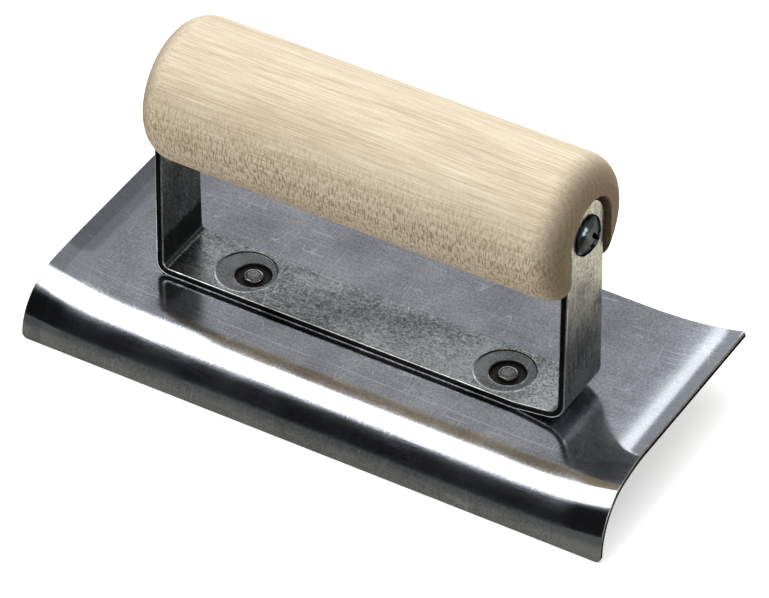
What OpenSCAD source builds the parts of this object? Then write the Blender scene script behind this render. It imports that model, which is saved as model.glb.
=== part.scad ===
// Concrete edger: a rolled-lip blade, a one-piece handle bracket and a turned handle.
// X runs along the blade, the lip is on the -Y side, and +Z is up.
// The origin is on the blade's flat underside, at the middle of its length, below the handle's axis.

/* [Blade] */
// Length of the blade along the lip
blade_len = 152.4; // [130:0.1:220]
// Width over all, from the lip's face to the back edge
blade_w = 69.85; // [60:0.05:100]
// Thickness of the blade's sheet
sheet_t = 1.2; // [0.8:0.1:1.8]
// Outside radius of the rolled lip
lip_r = 12.2; // [8:0.1:16]
// Straight skirt below the rolled lip
lip_skirt = 0.5; // [0.2:0.1:8]
// Distance from the lip's face to the middle of the handle
lip_to_handle = 31.6; // [26:0.1:45]
// How far each short end turns up
end_rise = 3.3; // [0:0.1:6]
// How far the top of each turned-up end is drawn in
end_draw = 1.4; // [0:0.1:2]
// Width of the flat over which the turned-up end fades towards the lip
end_fade = 9.7; // [4:0.1:16]

/* [Bracket] */
// Distance from each end of the blade to the leg's outer face
leg_inset = 22.5; // [16:0.1:30]
// Width of the bracket's strip at the base
strip_w = 17.1; // [15.5:0.1:22]
// How much each side of a leg draws in from the base to its rounded tip
leg_taper = 0.75; // [0:0.05:1.5]
// Thickness of the strip
strip_t = 1.9; // [1.5:0.1:3]
// Inside radius of the left-hand bend
bend_left = 1.4; // [0.8:0.1:4]
// Inside radius of the right-hand bend
bend_right = 3; // [0.8:0.1:5]
// Slope of the base's right-hand end, in degrees
kick = 8; // [1:0.5:9]
// Length of the sloping end of the base
kick_run = 8; // [4:0.5:9]

/* [Studs] */
// Distance from the left leg's outer face to the middle of the left pressed pocket
pocket_inset_left = 19.05; // [17:0.05:24]
// Distance from the right leg's outer face to the middle of the right pressed pocket
pocket_inset_right = 19.95; // [17:0.05:24]
// Diameter of each pressed pocket
pocket_d = 14.4; // [12:0.1:15]
// Depth of each pressed pocket
pocket_depth = 0.3; // [0.1:0.05:0.5]
// How far the left stud stands to the right of its pocket's middle
stud_off_left = 1.85; // [-2:0.05:2]
// How far the right stud stands to the right of its pocket's middle
stud_off_right = 0.75; // [-2:0.05:2]
// Diameter of each stud's shank
stud_d = 4.9; // [4:0.1:6]
// Diameter of each stud's upset flange
flange_d = 8.5; // [7:0.1:10]
// Thickness of the upset flange
flange_t = 0.3; // [0.2:0.1:0.8]
// Depth of the counterbore below the floor of the pocket
counterbore = 1.2; // [0.7:0.05:1.3]

/* [Handle] */
// Diameter of the handle
handle_d = 34.5; // [26:0.1:42]
// How far the left end of the handle stands proud of the leg's outer face
end_proud_left = -0.2; // [-0.5:0.05:6]
// How far the right end of the handle stands proud of the leg's outer face
end_proud_right = 1.3; // [0.5:0.05:6]
// Clear height for the fingers between the base and the handle
finger_gap = 31.15; // [24:0.05:42]
// Radius that rounds each end of the handle
handle_round = 7; // [5:0.1:8]
// How far the flat end face is inset from the handle's side
face_inset = 5.2; // [3:0.1:5.4]
// Side clearance between a leg and its slot in the handle
slot_gap = 1.1; // [0.5:0.1:2]

/* [Tie bolt] */
// How far the bolt's axis lies below the handle's
bolt_drop = 0.6; // [0:0.1:1]
// Diameter of the tie bolt
bolt_d = 4.8; // [4:0.1:6]
// Diameter of the bolt's pan head
head_d = 9.8; // [9:0.1:12]
// Height of the bolt's pan head
head_h = 2.6; // [2:0.1:4]
// Length of each arm of the cross-shaped drive
drive_arm = 2.6; // [1.5:0.1:3.2]
// Depth of the cross-shaped drive
drive_depth = 1.5; // [0.8:0.1:1.7]
// Width of the nut over its flats
nut_af = 9; // [8:0.1:11]
// Thickness of the nut
nut_t = 3; // [2:0.1:4]
// Outside diameter of the washer
washer_d = 11; // [9:0.1:13]
// Thickness of the washer
washer_t = 0.8; // [0.5:0.1:1.5]
// Thread that shows beyond the nut
bolt_proud = 0.8; // [0.2:0.1:2]

/* [Fits] */
// Radial clearance of a shank in its hole
fit = 0.05; // [0.02:0.01:0.1]
// Radial clearance of a stud's flange in its counterbore
flange_fit = 0.1; // [0.05:0.05:0.2]

/* [Hidden] */
$fn = 96;
LAP = 1;

// Blade
lip_y = -lip_to_handle;
back_y = lip_y + blade_w;
roll_y = lip_y + lip_r;
roll_z = sheet_t - lip_r;
end_run = leg_inset + bend_left + strip_t;
flat_half = blade_len / 2 - end_run;
roll_girth = lip_r * PI / 2;
full_girth = lip_skirt + roll_girth + end_fade;
blade_girth = lip_skirt + roll_girth + back_y - roll_y;

// Bracket
leg_x = blade_len / 2 - leg_inset;
tip_w = strip_w - 2 * leg_taper;
base_z = sheet_t;
base_top = base_z + strip_t;
bend_left_out = bend_left + strip_t;
bend_right_out = bend_right + strip_t;
left_cx = -leg_x + bend_left_out;
left_cz = base_z + bend_left_out;
right_cx = leg_x - bend_right_out;
kick_x = right_cx - kick_run;
right_cz = base_z + kick_run * tan(kick) + bend_right_out / cos(kick);

// Studs
pocket_floor = base_top - pocket_depth;
counterbore_floor = pocket_floor - counterbore;
pocket_x = [pocket_inset_left - leg_x, leg_x - pocket_inset_right];
stud_x = pocket_x + [stud_off_left, stud_off_right];

// Handle and bolt
handle_left = leg_x + end_proud_left;
handle_right = leg_x + end_proud_right;
handle_len = handle_left + handle_right;
handle_h = base_top + finger_gap + handle_d / 2;
seat_x = leg_x - strip_t;
slot_r = tip_w / 2 + slot_gap;
bolt_h = handle_h - bolt_drop;
head_crown = 0.45 * head_h;
nut_x = -leg_x - washer_t - nut_t;

// Share of the full upturn at girth g, measured up from the lip's lower edge
function fade(g) = let (t = min(g / full_girth, 1)) t * t * (3 - 2 * t);

// Angle of the rolled lip's surface at girth g: 90 on the skirt, 0 on the flat
function roll_angle(g) = 90 * (1 - max(0, min((g - lip_skirt) / roll_girth, 1)));

// Outer surface of the flat-ended blade at girth g, as [y, z]
function profile(g) =
    g < lip_skirt ? [lip_y, roll_z - lip_skirt + g]
    : g > lip_skirt + roll_girth ? [roll_y + g - lip_skirt - roll_girth, sheet_t]
    : [roll_y - lip_r * sin(roll_angle(g)), roll_z + lip_r * cos(roll_angle(g))];

// A point of the blade at run e and girth g, depth d below its outer face: e is 0 at the start
// of a turned-up end and 1 at its tip, on the side that side (1 or -1) gives
function blade_point(side, e, g, d) =
    let (
        share = fade(g),
        rise = end_rise * pow(e, 2) * share,
        tilt = atan(2 * end_rise * e * share / end_run),
        out = rise - d * cos(tilt),
        x = flat_half + end_run * e - end_draw * pow(e, 3) * share + d * sin(tilt),
        angle = roll_angle(g),
        p = profile(g)
    )
    [side * x, p[0] - sin(angle) * out, p[1] + cos(angle) * out];

RUN_STEPS = 12;
ROLL_STEPS = 20;
FADE_STEPS = 6;
STATIONS = [
    for (i = [RUN_STEPS:-1:0]) [-1, i / RUN_STEPS],
    for (i = [0:RUN_STEPS]) [1, i / RUN_STEPS],
];
GIRTHS = [
    0,
    for (i = [0:ROLL_STEPS]) lip_skirt + roll_girth * i / ROLL_STEPS,
    for (i = [1:FADE_STEPS]) lip_skirt + roll_girth + end_fade * i / FADE_STEPS,
    blade_girth,
];

// Two triangles over the four corners a, b, c, d, which run clockwise seen from outside
function quad(a, b, c, d) = [[a, b, c], [a, c, d]];

// The blade as one closed skin: outer face, inner face, then the four edges
module blade() {
    rows = len(STATIONS);
    cols = len(GIRTHS);
    inner = rows * cols;
    points = [
        for (d = [0, sheet_t]) for (s = STATIONS) for (g = GIRTHS)
            blade_point(s[0], s[1], g, d)
    ];
    faces = [
        for (i = [0:rows - 2]) for (j = [0:cols - 2])
            let (
                a = i * cols + j,
                b = a + cols
            )
            each concat(
                quad(a, a + 1, b + 1, b),
                quad(inner + a, inner + b, inner + b + 1, inner + a + 1)
            ),
        for (j = [0:cols - 2])
            let (b = inner - cols + j)
            each concat(
                quad(j, inner + j, inner + j + 1, j + 1),
                quad(b, b + 1, inner + b + 1, inner + b)
            ),
        for (i = [0:rows - 2])
            let (
                a = i * cols,
                b = a + cols - 1
            )
            each concat(
                quad(a, a + cols, inner + a + cols, inner + a),
                quad(b, inner + b, inner + b + cols, b + cols)
            ),
    ];
    color("lightsteelblue")
        polyhedron(points, faces, convexity = 4);
}

// Stands a drawing with Y across and Z up in place, and runs it along X
module along_x(from, to) {
    translate([from, 0, 0])
        rotate([90, 0, 90])
            linear_extrude(to - from)
                children();
}

// Side view of the room inside the strip, with X across and Z up, widened all round by grow
module inside_strip(grow) {
    leg_top = handle_h + tip_w;
    end_dir = [sin(kick), -cos(kick)];
    right_c = [right_cx, right_cz];
    polygon([
        [-seat_x - grow, leg_top],
        [-seat_x - grow, left_cz],
        [left_cx, base_top - grow],
        [kick_x, base_top - grow],
        right_c + (bend_right + grow) * end_dir,
        [seat_x + grow, right_cz],
        [seat_x + grow, leg_top],
    ]);
    translate([left_cx, left_cz])
        circle(bend_left + grow);
    translate(right_c)
        circle(bend_right + grow);
}

// Side view of the strip, drawn with X across and Z up
module strip_side() {
    difference() {
        inside_strip(strip_t);
        inside_strip(0);
    }
}

// Outline of the base and a leg seen along X: parallel at the base, tapering to a round tip
module leg_outline() {
    polygon([
        [-strip_w / 2, 0],
        [strip_w / 2, 0],
        [strip_w / 2, base_top],
        [tip_w / 2, handle_h],
        [-tip_w / 2, handle_h],
        [-strip_w / 2, base_top],
    ]);
    translate([0, handle_h])
        circle(tip_w / 2);
}

// A cylinder along X on the bolt's axis
module bore_x(d, from, to) {
    translate([from, 0, bolt_h])
        rotate([0, 90, 0])
            cylinder(d = d, h = to - from);
}

module bracket() {
    color("slategray")
        difference() {
            intersection() {
                translate([0, strip_w / 2, 0])
                    rotate([90, 0, 0])
                        linear_extrude(strip_w)
                            strip_side();
                along_x(-leg_x - LAP, leg_x + LAP)
                    leg_outline();
            }
            for (x = pocket_x)
                translate([x, 0, pocket_floor])
                    cylinder(d = pocket_d, h = strip_t);
            for (x = stud_x) {
                translate([x, 0, counterbore_floor])
                    cylinder(d = flange_d + 2 * flange_fit, h = strip_t);
                translate([x, 0, base_z - LAP])
                    cylinder(d = stud_d + 2 * fit, h = strip_t + 2 * LAP);
            }
            bore_x(bolt_d + 2 * fit, -leg_x - LAP, leg_x + LAP);
        }
}

// A stud that stands on the blade, upset into the counterbore and rounded on top
module stud(x) {
    nose_r = stud_d / 2;
    nose_round = 0.7;
    nose_top = pocket_floor + 0.15;
    color("gainsboro")
        translate([x, 0, 0])
            rotate_extrude()
                union() {
                    translate([0, base_z])
                        square([nose_r, nose_top - nose_round - base_z]);
                    translate([0, base_z])
                        square([nose_r - nose_round, nose_top - base_z]);
                    intersection() {
                        translate([nose_r - nose_round, nose_top - nose_round])
                            circle(nose_round);
                        translate([0, base_z])
                            square([nose_r, nose_top]);
                    }
                    translate([0, counterbore_floor])
                        square([flange_d / 2, flange_t]);
                }
}

module stud_left() {
    stud(stud_x[0]);
}

module stud_right() {
    stud(stud_x[1]);
}

// Slot in the handle's right-hand end: it takes the leg and opens downwards
module leg_slot() {
    along_x(seat_x, handle_len)
        union() {
            translate([0, handle_h])
                circle(slot_r);
            translate([-slot_r, handle_h - handle_d])
                square([2 * slot_r, handle_d]);
        }
}

ROUND_STEPS = 16;

// Rounded end of the handle's long section, from its side to its axis, as [radius, distance]
function handle_end(reach) =
    let (
        centre_r = handle_d / 2 - handle_round,
        last = acos(1 - face_inset / handle_round),
        start = reach - handle_round * sin(last)
    )
    [
        for (i = [0:ROUND_STEPS])
            let (a = last * i / ROUND_STEPS)
            [centre_r + handle_round * cos(a), start + handle_round * sin(a)],
        [0, reach],
    ];

module handle() {
    left = handle_end(handle_left);
    right = handle_end(handle_right);
    color("wheat")
        difference() {
            translate([0, 0, handle_h])
                rotate([0, 90, 0])
                    rotate_extrude()
                        polygon(concat(
                            right,
                            [for (i = [len(left) - 1:-1:0]) [left[i][0], -left[i][1]]]
                        ));
            leg_slot();
            mirror([1, 0, 0])
                leg_slot();
            bore_x(bolt_d + 2 * fit, -handle_len, handle_len);
        }
}

// Cross-shaped drive in the bolt's head
module drive() {
    for (turn = [0, 90])
        rotate([turn + 30, 0, 0])
            translate([leg_x + head_h - drive_depth, -drive_arm, -drive_arm / 4])
                cube([drive_depth + LAP, 2 * drive_arm, drive_arm / 2]);
}

module tie_bolt() {
    head_edge = head_h - head_crown;
    crown_r = (pow(head_d / 2, 2) + pow(head_crown, 2)) / (2 * head_crown);
    color("dimgray")
        difference() {
            union() {
                bore_x(bolt_d, nut_x - bolt_proud, leg_x + LAP / 2);
                bore_x(head_d, leg_x, leg_x + head_edge);
                intersection() {
                    translate([leg_x + head_h - crown_r, 0, bolt_h])
                        rotate([0, 90, 0])
                            sphere(crown_r);
                    bore_x(head_d, leg_x + head_edge, leg_x + head_h);
                }
            }
            translate([0, 0, bolt_h])
                drive();
        }
}

module washer() {
    color("silver")
        difference() {
            bore_x(washer_d, -leg_x - washer_t, -leg_x);
            bore_x(bolt_d + 2 * fit, -leg_x - washer_t - LAP, -leg_x + LAP);
        }
}

module nut() {
    color("silver")
        difference() {
            translate([nut_x, 0, bolt_h])
                rotate([0, 90, 0])
                    cylinder(d = nut_af / cos(30), h = nut_t, $fn = 6);
            bore_x(bolt_d + 2 * fit, nut_x - LAP, nut_x + nut_t + LAP);
        }
}

blade();
bracket();
stud_left();
stud_right();
handle();
tie_bolt();
washer();
nut();
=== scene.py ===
import math

import bmesh
import bpy
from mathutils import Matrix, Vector


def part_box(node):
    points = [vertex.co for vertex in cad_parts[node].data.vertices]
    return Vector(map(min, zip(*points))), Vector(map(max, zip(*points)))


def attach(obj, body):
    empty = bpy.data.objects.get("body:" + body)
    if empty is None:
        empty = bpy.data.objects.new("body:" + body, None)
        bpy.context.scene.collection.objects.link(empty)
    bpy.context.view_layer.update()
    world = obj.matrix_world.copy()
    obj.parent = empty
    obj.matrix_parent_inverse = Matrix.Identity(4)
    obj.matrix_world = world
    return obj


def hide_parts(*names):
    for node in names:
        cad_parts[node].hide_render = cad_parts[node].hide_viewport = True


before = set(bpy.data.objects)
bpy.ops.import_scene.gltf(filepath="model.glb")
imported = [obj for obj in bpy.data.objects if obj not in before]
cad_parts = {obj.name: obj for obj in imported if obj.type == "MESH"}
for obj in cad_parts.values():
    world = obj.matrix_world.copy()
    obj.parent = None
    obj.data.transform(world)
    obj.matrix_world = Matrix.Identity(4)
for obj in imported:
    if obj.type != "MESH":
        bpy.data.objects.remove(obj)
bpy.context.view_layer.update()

MM = 0.001
WELD = 1e-6
RIGHT_ANGLE = math.radians(90)


# ------------ places that the frame gives


def box_mm(node):
    """Lowest and highest corner of a CAD node, in millimetres."""
    lo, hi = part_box(node)
    return lo / MM, hi / MM


blade_lo, blade_hi = box_mm("blade")
bracket_lo, bracket_hi = box_mm("bracket")
handle_lo, handle_hi = box_mm("handle")
bolt_lo, bolt_hi = box_mm("tie_bolt")
washer_lo, washer_hi = box_mm("washer")
nut_lo, nut_hi = box_mm("nut")
stud_boxes = [box_mm("stud_left"), box_mm("stud_right")]

SHEET_T = bracket_lo.z
LEG_X = bracket_hi.x
STRIP_W = bracket_hi.y - bracket_lo.y
AXIS_Z = (handle_lo.z + handle_hi.z) / 2
HANDLE_R = (handle_hi.z - handle_lo.z) / 2
HANDLE_REACH = {-1: -handle_lo.x, 1: handle_hi.x}
TIP_R = bracket_hi.z - AXIS_Z
BOLT_Z = (washer_lo.z + washer_hi.z) / 2
HEAD_H = bolt_hi.x - LEG_X
STUD_X = [(lo.x + hi.x) / 2 for lo, hi in stud_boxes]
FLANGE_R = (stud_boxes[0][1].x - stud_boxes[0][0].x) / 2
NOSE_TOP = stud_boxes[0][1].z

# Sizes that the frame doesn't give, the same as in the CAD: millimetres, and radians for the angle
LIP_R = 12.2
LIP_SKIRT = 0.5
END_RISE = 3.3
END_DRAW = 1.4
END_FADE = 9.7
STRIP_T = 1.9
BEND_LEFT = 1.4
BEND_RIGHT = 3.0
KICK = math.radians(8)
KICK_RUN = 8.0
POCKET_R = 7.2
POCKET_DEPTH = 0.3
POCKET_X = (-34.65, 33.75)
COUNTERBORE = 1.2
STUD_R = 2.45
FLANGE_FIT = 0.1
FIT = 0.05
BOLT_R = 2.4
HEAD_R = 4.9
NUT_HALF_AF = 4.5
HANDLE_ROUND = 7.0
FACE_INSET = 5.2
SLOT_GAP = 1.1

# Sizes that follow from those
END_RUN = blade_hi.x - LEG_X + BEND_LEFT + STRIP_T
FLAT_HALF = blade_hi.x - END_RUN
ROLL_Y = blade_lo.y + LIP_R
ROLL_Z = SHEET_T - LIP_R
ROLL_GIRTH = LIP_R * math.pi / 2
ROLL_END = LIP_SKIRT + ROLL_GIRTH
FADE_END = ROLL_END + END_FADE
BLADE_GIRTH = ROLL_END + blade_hi.y - ROLL_Y
BASE_TOP = SHEET_T + STRIP_T
SEAT_X = LEG_X - STRIP_T
BORE_R = BOLT_R + FIT
CORE_R = HANDLE_R - HANDLE_ROUND
ROUND_END = math.acos(1 - FACE_INSET / HANDLE_ROUND)
SLOT_R = TIP_R + SLOT_GAP


# ------------ mesh helpers

SOFTEN_SHARE = 0.45
CURVE_STEPS = 4


def clamp(value):
    return max(0.0, min(1.0, value))


def smooth(t):
    t = clamp(t)
    return t * t * (3 - 2 * t)


def steps(start, end, count):
    """count + 1 evenly spaced values from start to end."""
    return [start + (end - start) * i / count for i in range(count + 1)]


def nearest(values, wanted):
    """Index of the value closest to the wanted one."""
    return min(range(len(values)), key=lambda i: abs(values[i] - wanted))


def circle(count):
    """Evenly spaced turns of a full circle, in radians."""
    return [math.tau * i / count for i in range(count)]


def add_object(name, data):
    made = bpy.data.objects.new(name, data)
    bpy.context.scene.collection.objects.link(made)
    return made


class Skin:
    """Collects sheets of quads in millimetres, joins those that meet, and makes an object.

    The kind of a sheet is the index of its material.
    """

    def __init__(self):
        self.points = []
        self.faces = []
        self.kinds = []

    def sheet(self, rows, closed=False, kind=0):
        """Quads over rows of equally many points. closed joins each row's last point to its first."""
        start = len(self.points)
        width = len(rows[0])
        for row in rows:
            self.points.extend(row)
        for i in range(len(rows) - 1):
            a = start + i * width
            b = a + width
            for j in range(width if closed else width - 1):
                k = (j + 1) % width
                self.faces.append((a + j, a + k, b + k, b + j))
                self.kinds.append(kind)

    def build(self, name, materials, sharp=40):
        mesh = bpy.data.meshes.new(name)
        bm = bmesh.new()
        corners = [bm.verts.new([c * MM for c in point]) for point in self.points]
        for face, kind in zip(self.faces, self.kinds):
            made = bm.faces.new([corners[i] for i in face])
            made.material_index = kind
        bmesh.ops.remove_doubles(bm, verts=bm.verts, dist=WELD)
        bmesh.ops.dissolve_degenerate(bm, edges=bm.edges, dist=WELD / 4)
        bmesh.ops.recalc_face_normals(bm, faces=bm.faces)
        bm.to_mesh(mesh)
        bm.free()
        for material in materials:
            mesh.materials.append(material)
        made = add_object(name, mesh)
        finish_shading(made, sharp)
        return made


def finish_shading(piece, sharp):
    """Smooth shading that keeps large flats flat, with hard edges above the angle sharp, in degrees."""
    mesh = piece.data
    mesh.polygons.foreach_set("use_smooth", [True] * len(mesh.polygons))
    mesh.set_sharp_from_angle(angle=math.radians(sharp))
    weighted = piece.modifiers.new("flat_faces", "WEIGHTED_NORMAL")
    weighted.keep_sharp = True


def edge_round(size, thickness):
    """Inset and depth of each ring round the edge of a plate, from its first face to the other."""
    arc = [RIGHT_ANGLE * i / CURVE_STEPS for i in range(CURVE_STEPS + 1)]
    upper = [(size * (1 - math.sin(a)), size * (1 - math.cos(a))) for a in arc]
    lower = [(inset, thickness - depth) for inset, depth in reversed(upper)]
    return upper + lower


def border(rows):
    """The closed loop round a grid of rows."""
    low = [row[0] for row in rows]
    high = [row[-1] for row in reversed(rows)]
    return low + list(rows[-1][1:-1]) + high + list(rows[0][-2:0:-1])


def plate_faces(skin, rows, place, thickness):
    """Both faces of a plate, over rows of (run, across)."""
    for depth in (0.0, thickness):
        skin.sheet([[place(run, across, depth) for run, across in row] for row in rows])


def plate_edge(skin, rows_at, place, size, thickness, kinds):
    """A plate's edge. kinds are those of its upper rounding, its flat band and its lower rounding."""
    rings = []
    for inset, depth in edge_round(size, thickness):
        loop = border(rows_at(inset))
        rings.append([place(run, across, depth) for run, across in loop])
    middle = len(rings) // 2
    bands = (rings[:middle], rings[middle - 1 : middle + 1], rings[middle:])
    for band, kind in zip(bands, kinds):
        skin.sheet(band, closed=True, kind=kind)


def soften(profile, size, closed=False):
    """Rounds each corner of a drawn profile with a short curve."""
    made = []
    last = len(profile) - 1
    for i, corner in enumerate(profile):
        if not closed and i in (0, last):
            made.append(corner)
            continue
        here = Vector(corner)
        before = Vector(profile[i - 1]) - here
        after = Vector(profile[(i + 1) % len(profile)]) - here
        start = here + before * min(size / before.length, SOFTEN_SHARE)
        end = here + after * min(size / after.length, SOFTEN_SHARE)
        for t in steps(0, 1, CURVE_STEPS):
            point = start * (1 - t) ** 2 + here * 2 * t * (1 - t) + end * t**2
            made.append((point.x, point.y))
    if closed:
        made.append(made[0])
    return made


def lathe(skin, profile, place, count=72, kind=0):
    """Turns a profile of (along, radius) points about an axis that place gives."""
    rows = [
        [place(along, radius * math.sin(a), -radius * math.cos(a)) for a in circle(count)]
        for along, radius in profile
    ]
    skin.sheet(rows, closed=True, kind=kind)


def on_bolt_axis(along, across, up):
    return (along, across, BOLT_Z + up)


def round_bolt(x, radius, turn):
    """A point about the bolt's axis, at a turn from straight down."""
    return on_bolt_axis(x, radius * math.sin(turn), -radius * math.cos(turn))


# ------------ node helpers


class Graph:
    """Short calls for building a node tree."""

    def __init__(self, tree):
        self.tree = tree
        self.tree.nodes.clear()

    def node(self, kind, **settings):
        made = self.tree.nodes.new(kind)
        for name, value in settings.items():
            setattr(made, name, value)
        return made

    def feed(self, socket, value):
        if isinstance(value, bpy.types.NodeSocket):
            self.tree.links.new(value, socket)
        else:
            socket.default_value = value

    def math(self, operation, a, b=0.0, c=0.0, clamped=False):
        made = self.node("ShaderNodeMath", operation=operation, use_clamp=clamped)
        for socket, value in zip(made.inputs, (a, b, c)):
            self.feed(socket, value)
        return made.outputs[0]

    def times(self, a, b):
        return self.math("MULTIPLY", a, b)

    def less(self, a, b):
        return self.math("SUBTRACT", a, b)

    def muladd(self, a, b, c, clamped=False):
        return self.math("MULTIPLY_ADD", a, b, c, clamped)

    def vector(self, operation, a, b=(0, 0, 0)):
        made = self.node("ShaderNodeVectorMath", operation=operation)
        self.feed(made.inputs[0], a)
        self.feed(made.inputs[1], b)
        return made.outputs["Value" if operation in ("DOT_PRODUCT", "LENGTH") else "Vector"]

    def spread(self, value, low, high, to_low=0.0, to_high=1.0, kind="SMOOTHSTEP"):
        made = self.node("ShaderNodeMapRange", interpolation_type=kind)
        for socket, setting in zip(made.inputs, (value, low, high, to_low, to_high)):
            self.feed(socket, setting)
        return made.outputs["Result"]

    def noise(self, vector, scale, detail=2.0, rough=0.5, distortion=0.0):
        made = self.node("ShaderNodeTexNoise")
        names = ("Vector", "Scale", "Detail", "Roughness", "Distortion")
        for name, value in zip(names, (vector, scale, detail, rough, distortion)):
            self.feed(made.inputs[name], value)
        return made.outputs["Fac"]

    def sway(self, base, field, amount, clamped=False):
        """The base, raised or lowered by how far a field is from its middle."""
        return self.muladd(self.less(field, 0.5), amount, base, clamped)

    def stretched(self, place, factors, scale, detail=2.0, rough=0.5):
        """Noise in coordinates that are squeezed by a factor for each axis."""
        return self.noise(self.vector("MULTIPLY", place, factors), scale, detail, rough)

    def mix(self, factor, a, b):
        made = self.node("ShaderNodeMix", data_type="RGBA")
        self.feed(made.inputs[0], factor)
        self.feed(made.inputs[6], a)
        self.feed(made.inputs[7], b)
        return made.outputs[2]

    def choose(self, factor, first, second):
        """A mix of two shaders: the first where the factor is 0, and the second where it is 1."""
        made = self.node("ShaderNodeMixShader")
        self.feed(made.inputs[0], factor)
        self.feed(made.inputs[1], first.outputs[0])
        self.feed(made.inputs[2], second.outputs[0])
        return made

    def join(self, x, y, z):
        made = self.node("ShaderNodeCombineXYZ")
        for socket, value in zip(made.inputs, (x, y, z)):
            self.feed(socket, value)
        return made.outputs[0]

    def split(self, vector):
        made = self.node("ShaderNodeSeparateXYZ")
        self.feed(made.inputs[0], vector)
        return made.outputs

    def place_mm(self):
        """The piece's own coordinates, in millimetres."""
        coordinates = self.node("ShaderNodeTexCoord")
        return self.vector("MULTIPLY", coordinates.outputs["Object"], (1 / MM,) * 3)


def surface(name):
    """A new material, with its graph, its surface shader and its coordinates in millimetres."""
    made = bpy.data.materials.new(name)
    made.use_nodes = True
    graph = Graph(made.node_tree)
    shader = graph.node("ShaderNodeBsdfPrincipled")
    output = graph.node("ShaderNodeOutputMaterial")
    graph.feed(output.inputs["Surface"], shader.outputs[0])
    return made, graph, shader, graph.place_mm()


def rgba(colour):
    return (*colour, 1.0)


def bump(graph, shader, height, strength, distance_mm):
    made = graph.node("ShaderNodeBump")
    graph.feed(made.inputs["Height"], height)
    made.inputs["Strength"].default_value = strength
    made.inputs["Distance"].default_value = distance_mm * MM
    graph.feed(shader.inputs["Normal"], made.outputs["Normal"])


# ------------ materials

# A noise's scale is in waves for each millimetre, and its stretch is a factor for x, y and z
CLOUD_SCALE = 0.06
ROLLING = (0.05, 1.0, 0.1)
ROLLING_SCALE = 1.6
CLOUD_TONE = 1.1
STREAK_TONE = 0.5
LONG_MARKS = dict(scale=0.5, stretch=(0.06, 1.0, 1.0), width=0.035, share=0.42)
SHORT_MARKS = dict(scale=0.45, stretch=(0.55, 0.13, 0.2), width=0.014, share=0.5)
MARK_PATCH_SCALE = 0.09
MARK_PATCH_FADE = 0.06

FORMING_LINE_Y = -16.2
FORMING_LINE_WIDTHS = (0.07, 0.2)
BENT_ENDS = (12.0, 7.5)
# Painted shade on the blade's turned-up left end: full within the first distance from the end, gone at
# the second
LEFT_END_SHADE_RUN = (4.6, 5.4)

# Darkest and lightest colour of the painted shade in the holes and grooves round the studs
GROOVE_SHADE_DARK = (0.004, 0.004, 0.005)
GROOVE_SHADE_LIGHT = (0.03, 0.026, 0.022)

PITH_Y = -34.0
PITH_UP = 21.0
RING_DRIFT = 10.0
RING_WAVES = 4.1
WOOD_DARK = (0.50, 0.385, 0.245)
WOOD_LIGHT = (0.82, 0.715, 0.55)
WOOD_FLECK = (0.20, 0.12, 0.055)
END_DARK = (0.08, 0.055, 0.03)
END_LIGHT = (0.29, 0.21, 0.13)
FLECK_ALONG = 2.9
FLECK_AROUND = 0.55


def scratches(graph, place, scale, stretch, width, share):
    """Thin, sparse, nearly straight lines: where a stretched noise crosses its middle value."""
    field = graph.stretched(place, stretch, scale, detail=0.0)
    off = graph.math("ABSOLUTE", graph.less(field, 0.5))
    line = graph.spread(off, 0.0, width, 1.0, 0.0)
    patch = graph.noise(place, MARK_PATCH_SCALE, detail=1.0)
    bare = 1 - share
    return graph.times(line, graph.spread(patch, bare, bare + MARK_PATCH_FADE))


def steel(name, dark, light, rough, grain, bumps, scratched, speckle_scale, work_and_shade):
    """Satin sheet steel: fine speckle, rolling streaks, clouding and thin scratches.

    The last argument adds what the forming left, and painted shade, if anything. It gives a new tone and
    a dulling factor.
    """
    made, graph, shader, place = surface(name)
    speckle = graph.noise(place, speckle_scale, detail=3.0, rough=0.75)
    cloud = graph.noise(place, CLOUD_SCALE, detail=3.0, rough=0.6)
    streak = graph.stretched(place, ROLLING, ROLLING_SCALE, detail=3.0, rough=0.6)
    long_marks = scratches(graph, place, **LONG_MARKS)
    short_marks = scratches(graph, place, **SHORT_MARKS)
    marks = graph.math("MAXIMUM", long_marks, short_marks)
    tone = graph.sway(0.5, speckle, grain)
    tone = graph.sway(tone, cloud, CLOUD_TONE)
    tone = graph.sway(tone, streak, STREAK_TONE)
    tone = graph.muladd(marks, scratched, tone)
    dulling = 1.0
    if work_and_shade is not None:
        tone, dulling = work_and_shade(graph, place, tone)
    tone = graph.math("MINIMUM", graph.math("MAXIMUM", tone, 0.0), 1.0)
    shader.inputs["Metallic"].default_value = 1.0
    shader.inputs["Specular Tint"].default_value = rgba(light)
    graph.feed(shader.inputs["Base Color"], graph.mix(tone, rgba(dark), rgba(light)))
    polish = graph.sway(cloud, streak, 0.5)
    dull = graph.spread(polish, 0.2, 0.8, *rough, kind="LINEAR")
    graph.feed(shader.inputs["Roughness"], graph.times(dull, dulling))
    height = graph.muladd(speckle, 0.7, graph.times(streak, 0.5))
    height = graph.muladd(marks, -0.4, height)
    bump(graph, shader, height, bumps, 0.02)
    return made


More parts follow.
